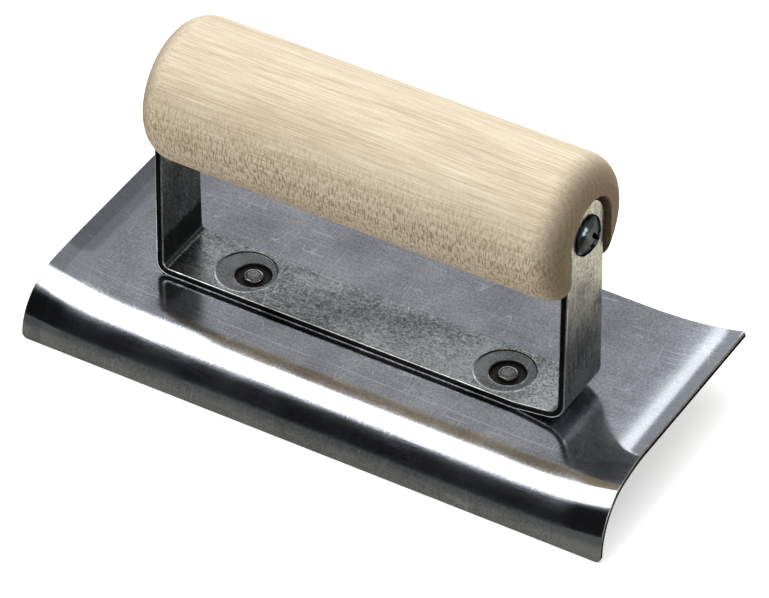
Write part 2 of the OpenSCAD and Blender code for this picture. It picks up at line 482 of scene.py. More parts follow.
def blade_marks_and_shade(graph, place, tone):
    """The forming line, calm and smooth ends, painted shade along the turned-up left end, and a duller
    lip.
    """
    x, y, _ = graph.split(place)
    off_line = graph.math("ABSOLUTE", graph.less(y, FORMING_LINE_Y))
    line = graph.spread(off_line, *FORMING_LINE_WIDTHS, 0.75, 0.0)
    patch = graph.spread(graph.noise(place, 0.15, detail=2.0), 0.35, 0.6, 0.3, 1.0)
    tone = graph.muladd(line, patch, tone)
    bent = graph.spread(graph.math("ABSOLUTE", x), *[blade_hi.x - run for run in BENT_ENDS])
    calm = graph.times(bent, graph.less(0.6, tone))
    tone = graph.muladd(calm, 0.6, tone)
    # Painted shade: darkens the turned-up strip at the blade's left end
    left_shade = graph.spread(x, *[run - blade_hi.x for run in LEFT_END_SHADE_RUN], 1.0, 0.0)
    tone = graph.muladd(left_shade, -0.3, tone)
    rolled = graph.spread(y, ROLL_Y - 1.0, ROLL_Y + 5.0, 1.0, 0.0)
    dulling = graph.muladd(rolled, 0.25, 1.0)
    return tone, graph.muladd(bent, -0.6, dulling)


def bracket_shade_and_streaks(graph, place, tone):
    """Painted shade low on the inside of the left leg and its bend, and drawn streaks down the outside
    of the right one.
    """
    x, _, z = graph.split(place)
    on_left = graph.spread(x, -LEG_X + STRIP_T + 0.3, -LEG_X + STRIP_T + 0.8, 1.0, 0.0)
    low = graph.spread(z, 12.5, 9.5, 0.0, 1.0)
    cloud = graph.spread(graph.noise(place, 0.5, detail=3.0), 0.3, 0.5, 0.6, 1.0)
    # Painted shade: darkens the left leg's inner face low down, mottled by a cloud
    shade_mottle = graph.times(graph.times(on_left, low), cloud)
    tone = graph.muladd(shade_mottle, -1.2, tone)
    on_right = graph.spread(x, LEG_X - 0.6, LEG_X - 0.2)
    drawn = graph.stretched(place, (1.0, 1.0, 0.06), 1.6, detail=3.0, rough=0.6)
    drag = graph.less(drawn, 0.4)
    return graph.muladd(graph.times(on_right, drag), 1.6, tone), 1.0


def edge_back_shade(graph, place, tone):
    """Painted shade: worn edges darkened towards the back, on the base, its pockets' rims and the blade,
    up to just above the base's top.
    """
    _, y, z = graph.split(place)
    # Painted shade: darker towards the back, and only low down
    back = graph.spread(y, -1.0, 3.5)
    base = graph.spread(z, BASE_TOP + 0.1, BASE_TOP + 0.5, 1.0, 0.0)
    return graph.muladd(graph.times(back, base), -1.0, tone), 1.0


def groove_shade():
    """Painted shade: the dark, rough floor of the hole round a stud, also used on the stud's flange and
    the groove in its nose.
    """
    made, graph, shader, place = surface("painted_groove_shade")
    shade_mottle = graph.noise(place, 2.0, detail=3.0, rough=0.7)
    shader.inputs["Metallic"].default_value = 0.4
    graph.feed(shader.inputs["Base Color"], graph.mix(shade_mottle, rgba(GROOVE_SHADE_DARK), rgba(GROOVE_SHADE_LIGHT)))
    graph.feed(shader.inputs["Roughness"], graph.spread(shade_mottle, 0.2, 0.8, 0.45, 0.75))
    bump(graph, shader, shade_mottle, 0.3, 0.05)
    return made


def plated(name, dark, light, rough):
    """Plated fastener: smooth, with faint turning marks about the bolt's axis, and wear."""
    made, graph, shader, place = surface(name)
    wear = graph.noise(place, 0.9, detail=4.0, rough=0.6)
    fine = graph.noise(place, 5.0, detail=2.0)
    _, y, z = graph.split(place)
    radius = graph.vector("LENGTH", graph.join(0.0, y, graph.less(z, BOLT_Z)))
    turning = graph.math("SINE", graph.times(radius, 26.0))
    tone = graph.muladd(turning, 0.08, wear, clamped=True)
    shader.inputs["Metallic"].default_value = 1.0
    shader.inputs["Specular Tint"].default_value = rgba(light)
    graph.feed(shader.inputs["Base Color"], graph.mix(tone, rgba(dark), rgba(light)))
    graph.feed(shader.inputs["Roughness"], graph.spread(wear, 0.25, 0.75, *rough))
    bump(graph, shader, graph.math("ADD", fine, turning), 0.05, 0.02)
    return made


def growth_rings(graph, place, y, up):
    """Rings round a pith outside the blank, drifting slowly along it."""
    drift = graph.stretched(place, (0.012, 0.08, 0.08), 1.0)
    off_y = graph.math("ADD", y, -PITH_Y)
    off_up = graph.less(up, PITH_UP)
    from_pith = graph.vector("LENGTH", graph.join(0.0, off_y, off_up))
    age = graph.muladd(drift, RING_DRIFT, from_pith)
    return graph.spread(graph.math("SINE", graph.times(age, RING_WAVES)), -1.0, 1.0)


def wood_flecks(graph, x, y, up):
    """Short flecks across the grain, on the front and back of the handle."""
    around = graph.times(graph.math("ARCTAN2", y, up), HANDLE_R)
    along = graph.times(x, FLECK_ALONG)
    unrolled = graph.join(along, graph.times(around, FLECK_AROUND), 0.0)
    fleck = graph.noise(unrolled, 1.0, detail=1.0, distortion=0.6)
    side = graph.math("DIVIDE", graph.math("ABSOLUTE", y), HANDLE_R)
    zone = graph.times(graph.spread(side, 0.3, 0.9), graph.spread(up, 14.0, -4.0))
    return graph.times(graph.spread(fleck, 0.48, 0.62), zone)


def end_grain_colour(graph, place, ring):
    """End grain takes in more finish and looks browner."""
    pores = graph.stretched(place, (0.3, 1.0, 1.0), 3.0, detail=3.0)
    tone = graph.sway(pores, ring, 0.12, clamped=True)
    return graph.mix(tone, rgba(END_DARK), rgba(END_LIGHT))


def rounding_share(graph, x):
    """How much end grain shows over the handle's rounded ends, from 0 on its side."""
    start = round_start(-1) + 1.0
    return graph.spread(graph.math("ABSOLUTE", x), start, HANDLE_REACH[1] + 0.2, 0.0, 0.95)


def wood(name, cut_across):
    """Pale turned beech. cut_across is for faces that show only end grain."""
    made, graph, shader, place = surface(name)
    x, y, z = graph.split(place)
    up = graph.less(z, AXIS_Z)
    ring = growth_rings(graph, place, y, up)
    fibre = graph.stretched(place, (0.02, 1.0, 1.0), 3.4, detail=3.0, rough=0.7)
    figure = graph.stretched(place, (0.02, 0.16, 0.16), 1.0, detail=3.0)
    grit = graph.stretched(place, (0.7, 1.0, 1.0), 3.4)
    tone = graph.sway(0.56, ring, 0.08)
    tone = graph.sway(tone, fibre, 2.3)
    tone = graph.sway(tone, grit, 0.5)
    tone = graph.sway(tone, figure, 0.8, clamped=True)
    colour = graph.mix(tone, rgba(WOOD_DARK), rgba(WOOD_LIGHT))
    fleck = wood_flecks(graph, x, y, up)
    colour = graph.mix(graph.times(fleck, 0.7), colour, rgba(WOOD_FLECK))
    share = 1.0 if cut_across else rounding_share(graph, x)
    colour = graph.mix(share, colour, end_grain_colour(graph, place, ring))
    graph.feed(shader.inputs["Base Color"], colour)
    graph.feed(shader.inputs["Roughness"], graph.spread(fibre, 0.2, 0.8, 0.65, 0.5))
    shader.inputs["Specular IOR Level"].default_value = 0.3
    height = graph.muladd(fleck, -0.6, graph.math("ADD", fibre, grit))
    bump(graph, shader, height, 0.3, 0.06)
    return made


# ------------ blade

BLADE_EDGE = 0.24
LIP_CORNER = 1.5
BACK_CORNER = 0.8
CORNER_STEPS = 8
END_STEPS = 28
MIDDLE_STEPS = 24
ROLL_STEPS = 40
FADE_STEPS = 12
BACK_STEPS = 18
BLADE_FACE, BLADE_SHEARED, BLADE_WORN_SHADED = range(3)


def profile_angle(girth):
    """Tilt of the flat-ended blade's face at a girth, measured up from the lip's lower edge."""
    return RIGHT_ANGLE * (1 - clamp((girth - LIP_SKIRT) / ROLL_GIRTH))


def profile_point(girth):
    """The flat-ended blade's outer face at a girth, as (y, z)."""
    if girth < LIP_SKIRT:
        return blade_lo.y, ROLL_Z - LIP_SKIRT + girth
    if girth > ROLL_END:
        return ROLL_Y + girth - LIP_SKIRT - ROLL_GIRTH, SHEET_T
    angle = profile_angle(girth)
    return ROLL_Y - LIP_R * math.sin(angle), ROLL_Z + LIP_R * math.cos(angle)


def blade_place(run, girth, depth):
    """A point of the blade at a run along it and a girth up it, a depth below its outer face."""
    side = math.copysign(1, run)
    bent = max(0.0, (abs(run) - FLAT_HALF) / END_RUN)
    share = smooth(girth / FADE_END)
    tilt = math.atan(2 * END_RISE * bent * share / END_RUN)
    out = END_RISE * bent**2 * share - depth * math.cos(tilt)
    x = abs(run) - END_DRAW * bent**3 * share + depth * math.sin(tilt)
    angle = profile_angle(girth)
    y, z = profile_point(girth)
    return (side * x, y - math.sin(angle) * out, z + math.cos(angle) * out)


def row_shares(inset):
    """Shares along a row of the blade, from 0 at the lip's edge to 1 at the back."""
    girths = [inset]
    girths += steps(LIP_SKIRT, ROLL_END, ROLL_STEPS)
    girths += steps(ROLL_END, FADE_END, FADE_STEPS)[1:]
    girths += steps(FADE_END, BLADE_GIRTH - inset, BACK_STEPS)[1:]
    return [(girth - inset) / (BLADE_GIRTH - 2 * inset) for girth in girths]


def right_end(inset):
    """The ends of each row over the blade's right-hand end, from its edge to where it is flat."""
    half = blade_hi.x
    lip_r = LIP_CORNER - inset
    back_r = BACK_CORNER - inset
    rows = []
    for k in range(CORNER_STEPS + 1):
        a = RIGHT_ANGLE * k / CORNER_STEPS
        low = (half - LIP_CORNER + lip_r * math.cos(a), LIP_CORNER - lip_r * math.sin(a))
        back_run = half - BACK_CORNER + back_r * math.cos(a)
        rows.append((low, (back_run, BLADE_GIRTH - BACK_CORNER + back_r * math.sin(a))))
    for run in steps(half - LIP_CORNER, FLAT_HALF, END_STEPS)[1:]:
        rows.append(((run, inset), (run, BLADE_GIRTH - inset)))
    return rows


def blade_rows(inset):
    """Rows of (run, girth) across the blade, inset from its outline, with rounded corners."""
    shares = row_shares(inset)
    right = right_end(inset)
    left = [((-low[0], low[1]), (-high[0], high[1])) for low, high in right]
    middle = []
    for run in steps(-FLAT_HALF, FLAT_HALF, MIDDLE_STEPS)[1:-1]:
        middle.append(((run, inset), (run, BLADE_GIRTH - inset)))
    rows = []
    for low, high in left + middle + right[::-1]:
        run = high[0] - low[0]
        rise = high[1] - low[1]
        rows.append([(low[0] + run * s, low[1] + rise * s) for s in shares])
    return rows


def make_blade(materials):
    skin = Skin()
    plate_faces(skin, blade_rows(BLADE_EDGE), blade_place, SHEET_T)
    kinds = (BLADE_WORN_SHADED, BLADE_SHEARED, BLADE_SHEARED)
    plate_edge(skin, blade_rows, blade_place, BLADE_EDGE, SHEET_T, kinds)
    return skin.build("rolled_blade", materials)


# ------------ bracket

STRIP_EDGE = 0.35
ACROSS = 24
TIP_SIDE_STEPS = 10
TIP_TOP_ANGLE = math.radians(50)
TIP_FOOT = 8.5
PATCH_HALF = 7.85
PATCH_STEPS = 24
STEPS_TO_PATCH = (6, 20)
HOLE_BREAK = 0.25
STRIP_FACE, STRIP_GROOVE_SHADE, STRIP_SHEARED, STRIP_WORN_SHADED, STRIP_POCKET = range(5)


def straight(start, end, out):
    """A straight stretch of the strip's inner face, in XZ, with the way to its outer face."""
    start = Vector(start)
    end = Vector(end)
    length = (end - start).length
    return length, lambda t: (start + (end - start) * t, Vector(out))


def curved(centre, radius, start, end):
    """A bend in the strip, about a centre on its inner side."""

    def at(t):
        a = start + (end - start) * t
        out = Vector((math.cos(a), math.sin(a)))
        return Vector(centre) + out * radius, out

    return radius * (end - start), at


LEFT_C = Vector((-LEG_X + BEND_LEFT + STRIP_T, SHEET_T + BEND_LEFT + STRIP_T))
RIGHT_OUT = BEND_RIGHT + STRIP_T
RIGHT_C = Vector(
    (LEG_X - RIGHT_OUT, SHEET_T + KICK_RUN * math.tan(KICK) + RIGHT_OUT / math.cos(KICK))
)
KICK_X = RIGHT_C.x - KICK_RUN
KICK_OUT = Vector((math.sin(KICK), -math.cos(KICK)))
PATH = [
    straight((-SEAT_X, AXIS_Z), (-SEAT_X, LEFT_C.y), (-1, 0)),
    curved(LEFT_C, BEND_LEFT, 2 * RIGHT_ANGLE, 3 * RIGHT_ANGLE),
    straight((LEFT_C.x, BASE_TOP), (KICK_X, BASE_TOP), (0, -1)),
    straight((KICK_X, BASE_TOP), RIGHT_C + BEND_RIGHT * KICK_OUT, KICK_OUT),
    curved(RIGHT_C, BEND_RIGHT, KICK - RIGHT_ANGLE, 0),
    straight((SEAT_X, RIGHT_C.y), (SEAT_X, AXIS_Z), (1, 0)),
]
PATH_STARTS = [sum(length for length, _ in PATH[:i]) for i in range(len(PATH) + 1)]
_, LEFT_BEND, BASE_START, _, RIGHT_BEND, RIGHT_LEG, PATH_END = PATH_STARTS


def spine(run):
    """A point of the strip's inner face at a run along it, and the way to its outer face."""
    index = 0
    while index < len(PATH) - 1 and run > PATH_STARTS[index + 1]:
        index += 1
    length, at = PATH[index]
    return at((run - PATH_STARTS[index]) / length)


def strip_place(run, across, depth):
    """A point of the strip, a depth below its inner face."""
    point, out = spine(run)
    return (point.x + out.x * depth, across, point.y + out.y * depth)


def half_width(run):
    """Half the strip's width, which narrows up the legs to the round tips."""
    z = spine(run)[0].y
    taper = STRIP_W / 2 - TIP_R
    return STRIP_W / 2 - taper * clamp((z - BASE_TOP) / (AXIS_Z - BASE_TOP))


def run_of_base(x):
    return BASE_START + x - LEFT_C.x


def strip_runs():
    """Stations along the strip between its tips' arcs, and those that bound tips and patches."""
    patches = [(run_of_base(x - PATCH_HALF), run_of_base(x + PATCH_HALF)) for x in POCKET_X]
    stretches = [(TIP_FOOT, 5), (LEFT_BEND, 12), (BASE_START, 10)]
    for (low, high), count in zip(patches, STEPS_TO_PATCH):
        stretches += [(low, count), (high, PATCH_STEPS)]
    stretches += [(RIGHT_BEND, 6), (RIGHT_LEG, 14), (PATH_END - TIP_FOOT, 10), (PATH_END, 5)]
    runs = [0.0]
    for end, count in stretches:
        runs += steps(runs[-1], end, count)[1:]
    return runs, [TIP_FOOT, *patches[0], *patches[1], PATH_END - TIP_FOOT]


def tip_rows(radius):
    """Rows of (reach beyond the handle's axis, across) over a leg's round end, from the leg outward."""
    rows = []
    for a in steps(0, TIP_TOP_ANGLE, TIP_SIDE_STEPS)[1:-1]:
        edge = radius * math.cos(a)
        rows.append([(radius * math.sin(a), y) for y in steps(-edge, edge, ACROSS)])
    top = steps(TIP_TOP_ANGLE, math.pi - TIP_TOP_ANGLE, ACROSS)
    rows.append([(radius * math.sin(a), -radius * math.cos(a)) for a in top])
    return rows


def strip_rows(inset):
    """Rows of (run, across) over the strip, inset from its outline."""
    tip = tip_rows(TIP_R - inset)
    rows = [[(-reach, y) for reach, y in row] for row in reversed(tip)]
    for run in strip_runs()[0]:
        edge = half_width(run) - inset
        rows.append([(run, y) for y in steps(-edge, edge, ACROSS)])
    rows += [[(PATH_END + reach, y) for reach, y in row] for row in tip]
    return rows


def strip_bounds():
    """Indexes of the rows that bound the tips and the patches round the pockets."""
    runs, bounds = strip_runs()
    return [len(tip_rows(TIP_R)) + nearest(runs, bound) for bound in bounds]


def fill_round(skin, loop, centre, rings):
    """Fills a loop on the strip with rings down through a hole and out to the loop's other side.

    A ring is the kind of the face that leads to it, a shift along the strip, a radius and a depth.
    """
    angles = [math.atan2(y, run - centre) for run, y in loop]
    last = [strip_place(run, y, 0.0) for run, y in loop]
    for kind, shift, radius, depth in rings:
        middle = centre + shift
        ring = [strip_place(middle + radius * math.cos(a), radius * math.sin(a), depth) for a in angles]
        skin.sheet([last, ring], closed=True, kind=kind)
        last = ring
    under = [strip_place(run, y, STRIP_T) for run, y in loop]
    skin.sheet([last, under], closed=True, kind=STRIP_FACE)


def pocket_rings(shift):
    """The pressed pocket, then the counterbore and the stud's hole, shifted along the strip."""
    bore = FLANGE_R + FLANGE_FIT
    floor = POCKET_DEPTH + COUNTERBORE
    hole = STUD_R + FIT
    rings = {
        STRIP_FACE: [(0, POCKET_R + 0.36, 0.0), (0, POCKET_R + 0.16, 0.015)],
        STRIP_WORN_SHADED: [(0, POCKET_R + 0.05, 0.08), (0, POCKET_R - 0.03, 0.18), (0, POCKET_R - 0.13, 0.26)],
        STRIP_POCKET: [
            (0, POCKET_R - 0.26, 0.29),
            (0, POCKET_R - 0.45, POCKET_DEPTH),
            (shift * 0.6, bore + 1.1, POCKET_DEPTH),
            (shift, bore + 0.3, POCKET_DEPTH),
            (shift, bore + 0.12, POCKET_DEPTH + 0.03),
            (shift, bore + 0.02, POCKET_DEPTH + 0.12),
        ],
        # The counterbore and the stud's hole take the painted groove shade
        STRIP_GROOVE_SHADE: [
            (shift, bore, POCKET_DEPTH + 0.25),
            (shift, bore, floor - 0.12),
            (shift, bore - 0.12, floor),
            (shift, hole + 0.1, floor),
            (shift, hole, floor + 0.1),
            (shift, hole, STRIP_T),
        ],
    }
    return [(kind, *ring) for kind, group in rings.items() for ring in group]


def tip_rings(down):
    """The bolt's hole in a leg. down is the way along the strip that leads down the leg."""
    shift = down * (AXIS_Z - BOLT_Z)
    wide = BORE_R + HOLE_BREAK
    rings = [(wide, 0.0), (BORE_R, HOLE_BREAK), (BORE_R, STRIP_T - HOLE_BREAK), (wide, STRIP_T)]
    return [(STRIP_FACE, shift, radius, depth) for radius, depth in rings]


def make_bracket(materials):
    skin = Skin()
    rows = strip_rows(STRIP_EDGE)
    left_foot, *patch_bounds, right_foot = strip_bounds()
    fill_round(skin, border(rows[: left_foot + 1]), 0.0, tip_rings(1))
    fill_round(skin, border(rows[right_foot:]), PATH_END, tip_rings(-1))
    start = left_foot
    for i, x in enumerate(POCKET_X):
        low, high = patch_bounds[2 * i : 2 * i + 2]
        fill_round(skin, border(rows[low : high + 1]), run_of_base(x), pocket_rings(STUD_X[i] - x))
        plate_faces(skin, rows[start : low + 1], strip_place, STRIP_T)
        start = high
    plate_faces(skin, rows[start : right_foot + 1], strip_place, STRIP_T)
    kinds = (STRIP_WORN_SHADED, STRIP_SHEARED, STRIP_WORN_SHADED)
    plate_edge(skin, strip_rows, strip_place, STRIP_EDGE, STRIP_T, kinds)
    return skin.build("bent_bracket", materials)


# ------------ studs

STUD_AROUND = 64
FLANGE_T = 0.3
NOSE_ROUND = 0.7
# The nose's groove, as (depth below the nose's top, radius)
GROOVE = [(0.0, 1.75), (0.16, 1.68), (0.16, 1.6), (0.04, 1.5), (0.04, 0.0)]
# A stud's second material is the painted groove shade
STUD_FACE, STUD_GROOVE_SHADE = range(2)


def make_stud(name, x, materials):
    """A stud with a flange, and a rounded nose with a groove. Its profile is (z, radius)."""
    floor = BASE_TOP - POCKET_DEPTH - COUNTERBORE
    flange_top = floor + FLANGE_T
    corners = [(SHEET_T, 0.0), (SHEET_T, STUD_R), (floor, STUD_R), (floor, FLANGE_R)]
    corners += [(flange_top, FLANGE_R), (flange_top, STUD_R)]
    shoulder = soften(corners, 0.08)
    centre_z = NOSE_TOP - NOSE_ROUND
    centre_r = STUD_R - NOSE_ROUND
    nose = [
        (centre_z + NOSE_ROUND * math.sin(a), centre_r + NOSE_ROUND * math.cos(a))
        for a in steps(0, RIGHT_ANGLE, 8)
    ]
    groove = soften([(NOSE_TOP - depth, radius) for depth, radius in GROOVE], 0.05)
    skin = Skin()

    def upright(along, a, b):
        return (x + a, b, along)

    # The shank, the flange and the nose's groove take the painted groove shade; the rest of the nose
    # takes the stud's steel
    lathe(skin, shoulder + nose[:1], upright, STUD_AROUND, STUD_GROOVE_SHADE)
    lathe(skin, nose + groove[:1], upright, STUD_AROUND, STUD_FACE)
    lathe(skin, groove[:-3], upright, STUD_AROUND, STUD_GROOVE_SHADE)
    lathe(skin, groove[-4:], upright, STUD_AROUND, STUD_FACE)
    return skin.build(name, materials, sharp=50)


# ------------ handle

AROUND = 112
UNDER = 24
ROUND_STEPS = 20
SEAT_STEPS = 6
SIDE_STEPS = 28
SLOT_EDGE = 0.45
SIDE_GRAIN, END_GRAIN = range(2)


def opening_angle(radius):
    """Half the angle that the slot's opening takes out of a ring, measured from straight down."""
    return math.asin(SLOT_R / radius)


def horseshoe_turns(radius):
    """Turns round a ring of the handle, from one side of the slot's opening to the other."""
    low = opening_angle(radius)
    return steps(low, math.tau - low, AROUND)


def slot_radius(turn, widen):
    """Distance from the axis to the slot's wall, in the direction that turn gives."""
    if math.cos(turn) > 0:
        return SLOT_R / abs(math.sin(turn))
    return SLOT_R + widen


def turned(x, radius, turn):
    """A point about the handle's axis, at a turn from straight down."""
    return (x, radius * math.sin(turn), AXIS_Z - radius * math.cos(turn))


def round_start(side):
    """Where the rounding of an end begins, as a distance along the handle."""
    return HANDLE_REACH[side] - HANDLE_ROUND * math.sin(ROUND_END)


def rounded_at(side, angle):
    """A point of the rounded end's section, as (distance along the handle, radius)."""
    x = round_start(side) + HANDLE_ROUND * math.sin(angle)
    return x, CORE_R + HANDLE_ROUND * math.cos(angle)


def seat_angle(side):
    """Where on the rounding the slot's floor is."""
    return math.asin((SEAT_X - round_start(side)) / HANDLE_ROUND)


def bore_ring(x, turns):
    return [round_bolt(x, BORE_R, turn) for turn in turns]


def slot_wall(side, x, turns):
    """A ring of the slot's wall. Its edge on the handle's flat face is rounded over the arch."""
    left = clamp((HANDLE_REACH[side] - x) / SLOT_EDGE)
    widen = SLOT_EDGE * (1 - math.sqrt(1 - (1 - left) ** 2))
    ring = []
    for turn in turns:
        upper = smooth((-math.cos(turn) + 0.05) / 0.3)
        ring.append(turned(side * x, slot_radius(turn, widen * upper), turn))
    return ring


def handle_end(skin, side):
    """One slotted end: outside, flat face, slot wall and floor. Gives the turns of its ring."""
    outside = []
    wall = []
    for a in steps(seat_angle(side), ROUND_END, ROUND_STEPS):
        x, radius = rounded_at(side, a)
        turns = horseshoe_turns(radius)
        outside.append([turned(side * x, radius, turn) for turn in turns])
        wall.append(slot_wall(side, x, turns))
    skin.sheet(outside, kind=SIDE_GRAIN)
    skin.sheet(wall, kind=END_GRAIN)
    skin.sheet([outside[-1], wall[-1]], kind=END_GRAIN)
    radius = rounded_at(side, seat_angle(side))[1]
    low = opening_angle(radius)
    turns = horseshoe_turns(radius) + steps(math.tau - low, math.tau + low, UNDER)[1:-1]
    seat = side * SEAT_X
    loop = wall[0] + [turned(seat, radius, turn) for turn in turns[AROUND + 1 :]]
    skin.sheet([loop, bore_ring(seat, turns)], closed=True, kind=END_GRAIN)
    return turns


def make_handle(materials):
    skin = Skin()
    ends = {side: handle_end(skin, side) for side in (-1, 1)}
    left = [rounded_at(-1, a) for a in steps(seat_angle(-1), 0, SEAT_STEPS)]
    right = [rounded_at(1, a) for a in steps(0, seat_angle(1), SEAT_STEPS)]
    body = [(-x, radius) for x, radius in left]
    body += [(x, HANDLE_R) for x in steps(-left[-1][0], right[0][0], SIDE_STEPS)[1:-1]]
    body += right
    rows = []
    tube = []
    for x, radius in body:
        share = (x + SEAT_X) / (2 * SEAT_X)
        turns = [a + (b - a) * share for a, b in zip(ends[-1], ends[1])]
        rows.append([turned(x, radius, turn) for turn in turns])
        tube.append(bore_ring(x, turns))
    skin.sheet(rows, closed=True, kind=SIDE_GRAIN)
    skin.sheet(tube, closed=True, kind=END_GRAIN)
    return skin.build("turned_handle", materials, sharp=14)


# ------------ bolt, washer and nut

THREAD_AROUND = 72
THREAD_STEPS = 84
PITCH = 0.8
THREAD_DEPTH = 0.34
THREAD_END = -50.0
THREAD_FADE = 1.2
TIP_CHAMFER = 0.4
CROWN_H = 0.75 * HEAD_H
CROWN_R = (HEAD_R**2 + CROWN_H**2) / (2 * CROWN_H)
CROWN_SHARE = 0.8
DRIVE_TURN = math.radians(30)
DRIVE_DEPTH = 1.5
WASHER_EDGE = 0.14
NUT_AROUND = 96
NUT_CHAMFER = math.radians(30)
NUT_BREAK = 0.1


def thread_rows():
    """Rings of the bolt's threaded end, cut as a helix."""
    rows = [[on_bolt_axis(bolt_lo.x, 0.0, 0.0)] * THREAD_AROUND]
    for x in steps(bolt_lo.x, THREAD_END, THREAD_STEPS):
        chamfer = TIP_CHAMFER * (1 - clamp((x - bolt_lo.x) / TIP_CHAMFER))
        depth = THREAD_DEPTH * smooth((THREAD_END - x) / THREAD_FADE)
        ring = []
        for i, turn in enumerate(circle(THREAD_AROUND)):
            wave = abs(((x / PITCH - i / THREAD_AROUND) % 1.0) * 2 - 1)
            ring.append(round_bolt(x, BOLT_R - max(depth * smooth(wave), chamfer), turn))
        rows.append(ring)
    return rows


def head_profile():
    """The bolt's shank and pan head, as (x, radius), up to the top of the crown."""
    apex = LEG_X + HEAD_H
    rim = apex - CROWN_H
    corners = [(THREAD_END, BOLT_R), (LEG_X, BOLT_R), (LEG_X, HEAD_R), (rim, HEAD_R)]
    toward_crown = (apex - CROWN_H * 0.72, HEAD_R * 0.86)
    profile = soften(corners + [toward_crown], 0.7)[:-1]
    for share in steps(CROWN_SHARE, 0.0, 10):
        radius = HEAD_R * share
        profile.append((apex - CROWN_R + math.sqrt(CROWN_R**2 - radius**2), radius))
    return profile


def cross_cutters():
    """Two tapered bars that cut the cross out of the bolt's head."""
    made = []
    apex = LEG_X + HEAD_H
    foot = apex - DRIVE_DEPTH
    sections = [(foot, 1.35, 0.42), (foot + 0.35, 1.75, 0.5), (apex + 0.3, 2.75, 0.75)]
    for k in range(2):
        skin = Skin()
        turn = DRIVE_TURN + k * RIGHT_ANGLE
        along = Vector((math.cos(turn), math.sin(turn)))
        over = Vector((-math.sin(turn), math.cos(turn)))
        rings = []
        for x, reach, wide in sections:
            signs = ((-1, -1), (1, -1), (1, 1), (-1, 1))
            corners = [along * (a * reach) + over * (b * wide) for a, b in signs]
            rings.append([on_bolt_axis(x, corner.x, corner.y) for corner in corners])
        skin.sheet(rings, closed=True)
        for ring in (rings[0], rings[-1]):
            skin.sheet([ring[:2], ring[:1:-1]])
        made.append(skin.build(f"cutter_{k}", [], sharp=30))
    return made


def cut_away(piece, cutters):
    """Applies the cutters to the piece's mesh and removes them."""
    piece.modifiers.clear()
    for cutter in cutters:
        cutter.modifiers.clear()
        cut = piece.modifiers.new("cut", "BOOLEAN")
        cut.operation = "DIFFERENCE"
        cut.solver = "EXACT"
        cut.object = cutter
    bpy.context.view_layer.update()
    graph = bpy.context.evaluated_depsgraph_get()
    mesh = bpy.data.meshes.new_from_object(piece.evaluated_get(graph))
    piece.modifiers.clear()
    piece.data = mesh
    for cutter in cutters:
        bpy.data.objects.remove(cutter)


def make_bolt(materials):
    skin = Skin()
    skin.sheet(thread_rows(), closed=True)
    lathe(skin, head_profile(), on_bolt_axis)
    piece = skin.build("pan_bolt", materials)
    cut_away(piece, cross_cutters())
    finish_shading(piece, 32)
    return piece


def make_washer(materials):
    outer = (washer_hi.z - washer_lo.z) / 2
    corners = [(washer_lo.x, BORE_R), (washer_lo.x, outer), (washer_hi.x, outer), (washer_hi.x, BORE_R)]
    skin = Skin()
    lathe(skin, soften(corners, WASHER_EDGE, closed=True), on_bolt_axis, count=96)
    return skin.build("flat_washer", materials)


def hexagon(turn):
    """The nut's radius at a turn, and how far its chamfer cuts the face back there."""
    corner = math.radians((math.degrees(turn) % 60) - 30)
    radius = NUT_HALF_AF / math.cos(corner)
    return radius, NUT_BREAK + (radius - NUT_HALF_AF) * math.tan(NUT_CHAMFER)


def make_nut(materials):
    """A hexagon nut with a turned chamfer on both faces. A ring with no radius is the hexagon."""
    middle = (nut_lo.x + nut_hi.x) / 2
    half = (nut_hi.x - nut_lo.x) / 2
    lip = BORE_R + 0.35
    land = NUT_HALF_AF - 0.12
    section = [(BORE_R, -0.7), (lip, -1), (land, -1), (None, -1)]
    section += [(None, 1), (land, 1), (lip, 1), (BORE_R, 0.7), (BORE_R, -0.7)]
    rows = []
    for fixed, end in section:
        ring = []
        for turn in circle(NUT_AROUND):
            radius, inset = hexagon(turn) if fixed is None else (fixed, 0.0)
            x = middle + end * half - math.copysign(inset, end)
            ring.append(round_bolt(x, radius, turn))
        rows.append(ring)
    skin = Skin()
    skin.sheet(rows, closed=True)
    return skin.build("hex_nut", materials, sharp=28)


# ------------ stage, lights and camera

FLOOR_HALF = 4.0
FLOOR_PALE = (0.86, 0.86, 0.86)
FLOOR_GLOW = 0.45
# What the object sees of the floor: painted shade in front, painted light at the back, and the y over
# which one changes to the other
FLOOR_FRONT_SHADE = (0.10, 0.105, 0.10)
FLOOR_BACK_LIGHT = (0.88, 0.79, 0.62)
FLOOR_SHADE_CHANGE = (-0.06, 0.05)

# The room, and what darkens and lights it: (direction, inner and outer angle, strength)
ROOM_COLOUR = (0.95, 0.98, 1.0)
ROOM_LEVEL = 0.395
DARK_FLAGS = [
    ((-0.39, -0.82, 0.30), 24, 38, 0.97),
    ((0.42, 0.65, 0.63), 14, 28, 0.75),
    ((0.01, 0.66, 0.75), 8, 10, 0.35),
]
LIGHT_CARDS = [
    ((-0.39, -0.12, 0.91), 19, 27, 3.0),
    ((-0.32, 0.94, 0.10), 16, 30, 1.5),
    ((0.97, -0.12, 0.14), 4, 9, 5.0),
    ((0.93, 0.10, 0.26), 4, 9, 5.0),
]

# The side card's direction and spread, and its heights as sines of the angle above the horizon
SIDE_CARD = (-0.60, 0.66, 0.45)
SIDE_CARD_SPREAD = (8, 18)
SIDE_CARD_FOOT = math.sin(math.radians(24.9))
SIDE_CARD_TOP = math.sin(math.radians(31.2))
SIDE_CARD_EDGE = 0.008
SIDE_CARD_FULL = 0.036
SIDE_CARD_LEVEL = 1.15

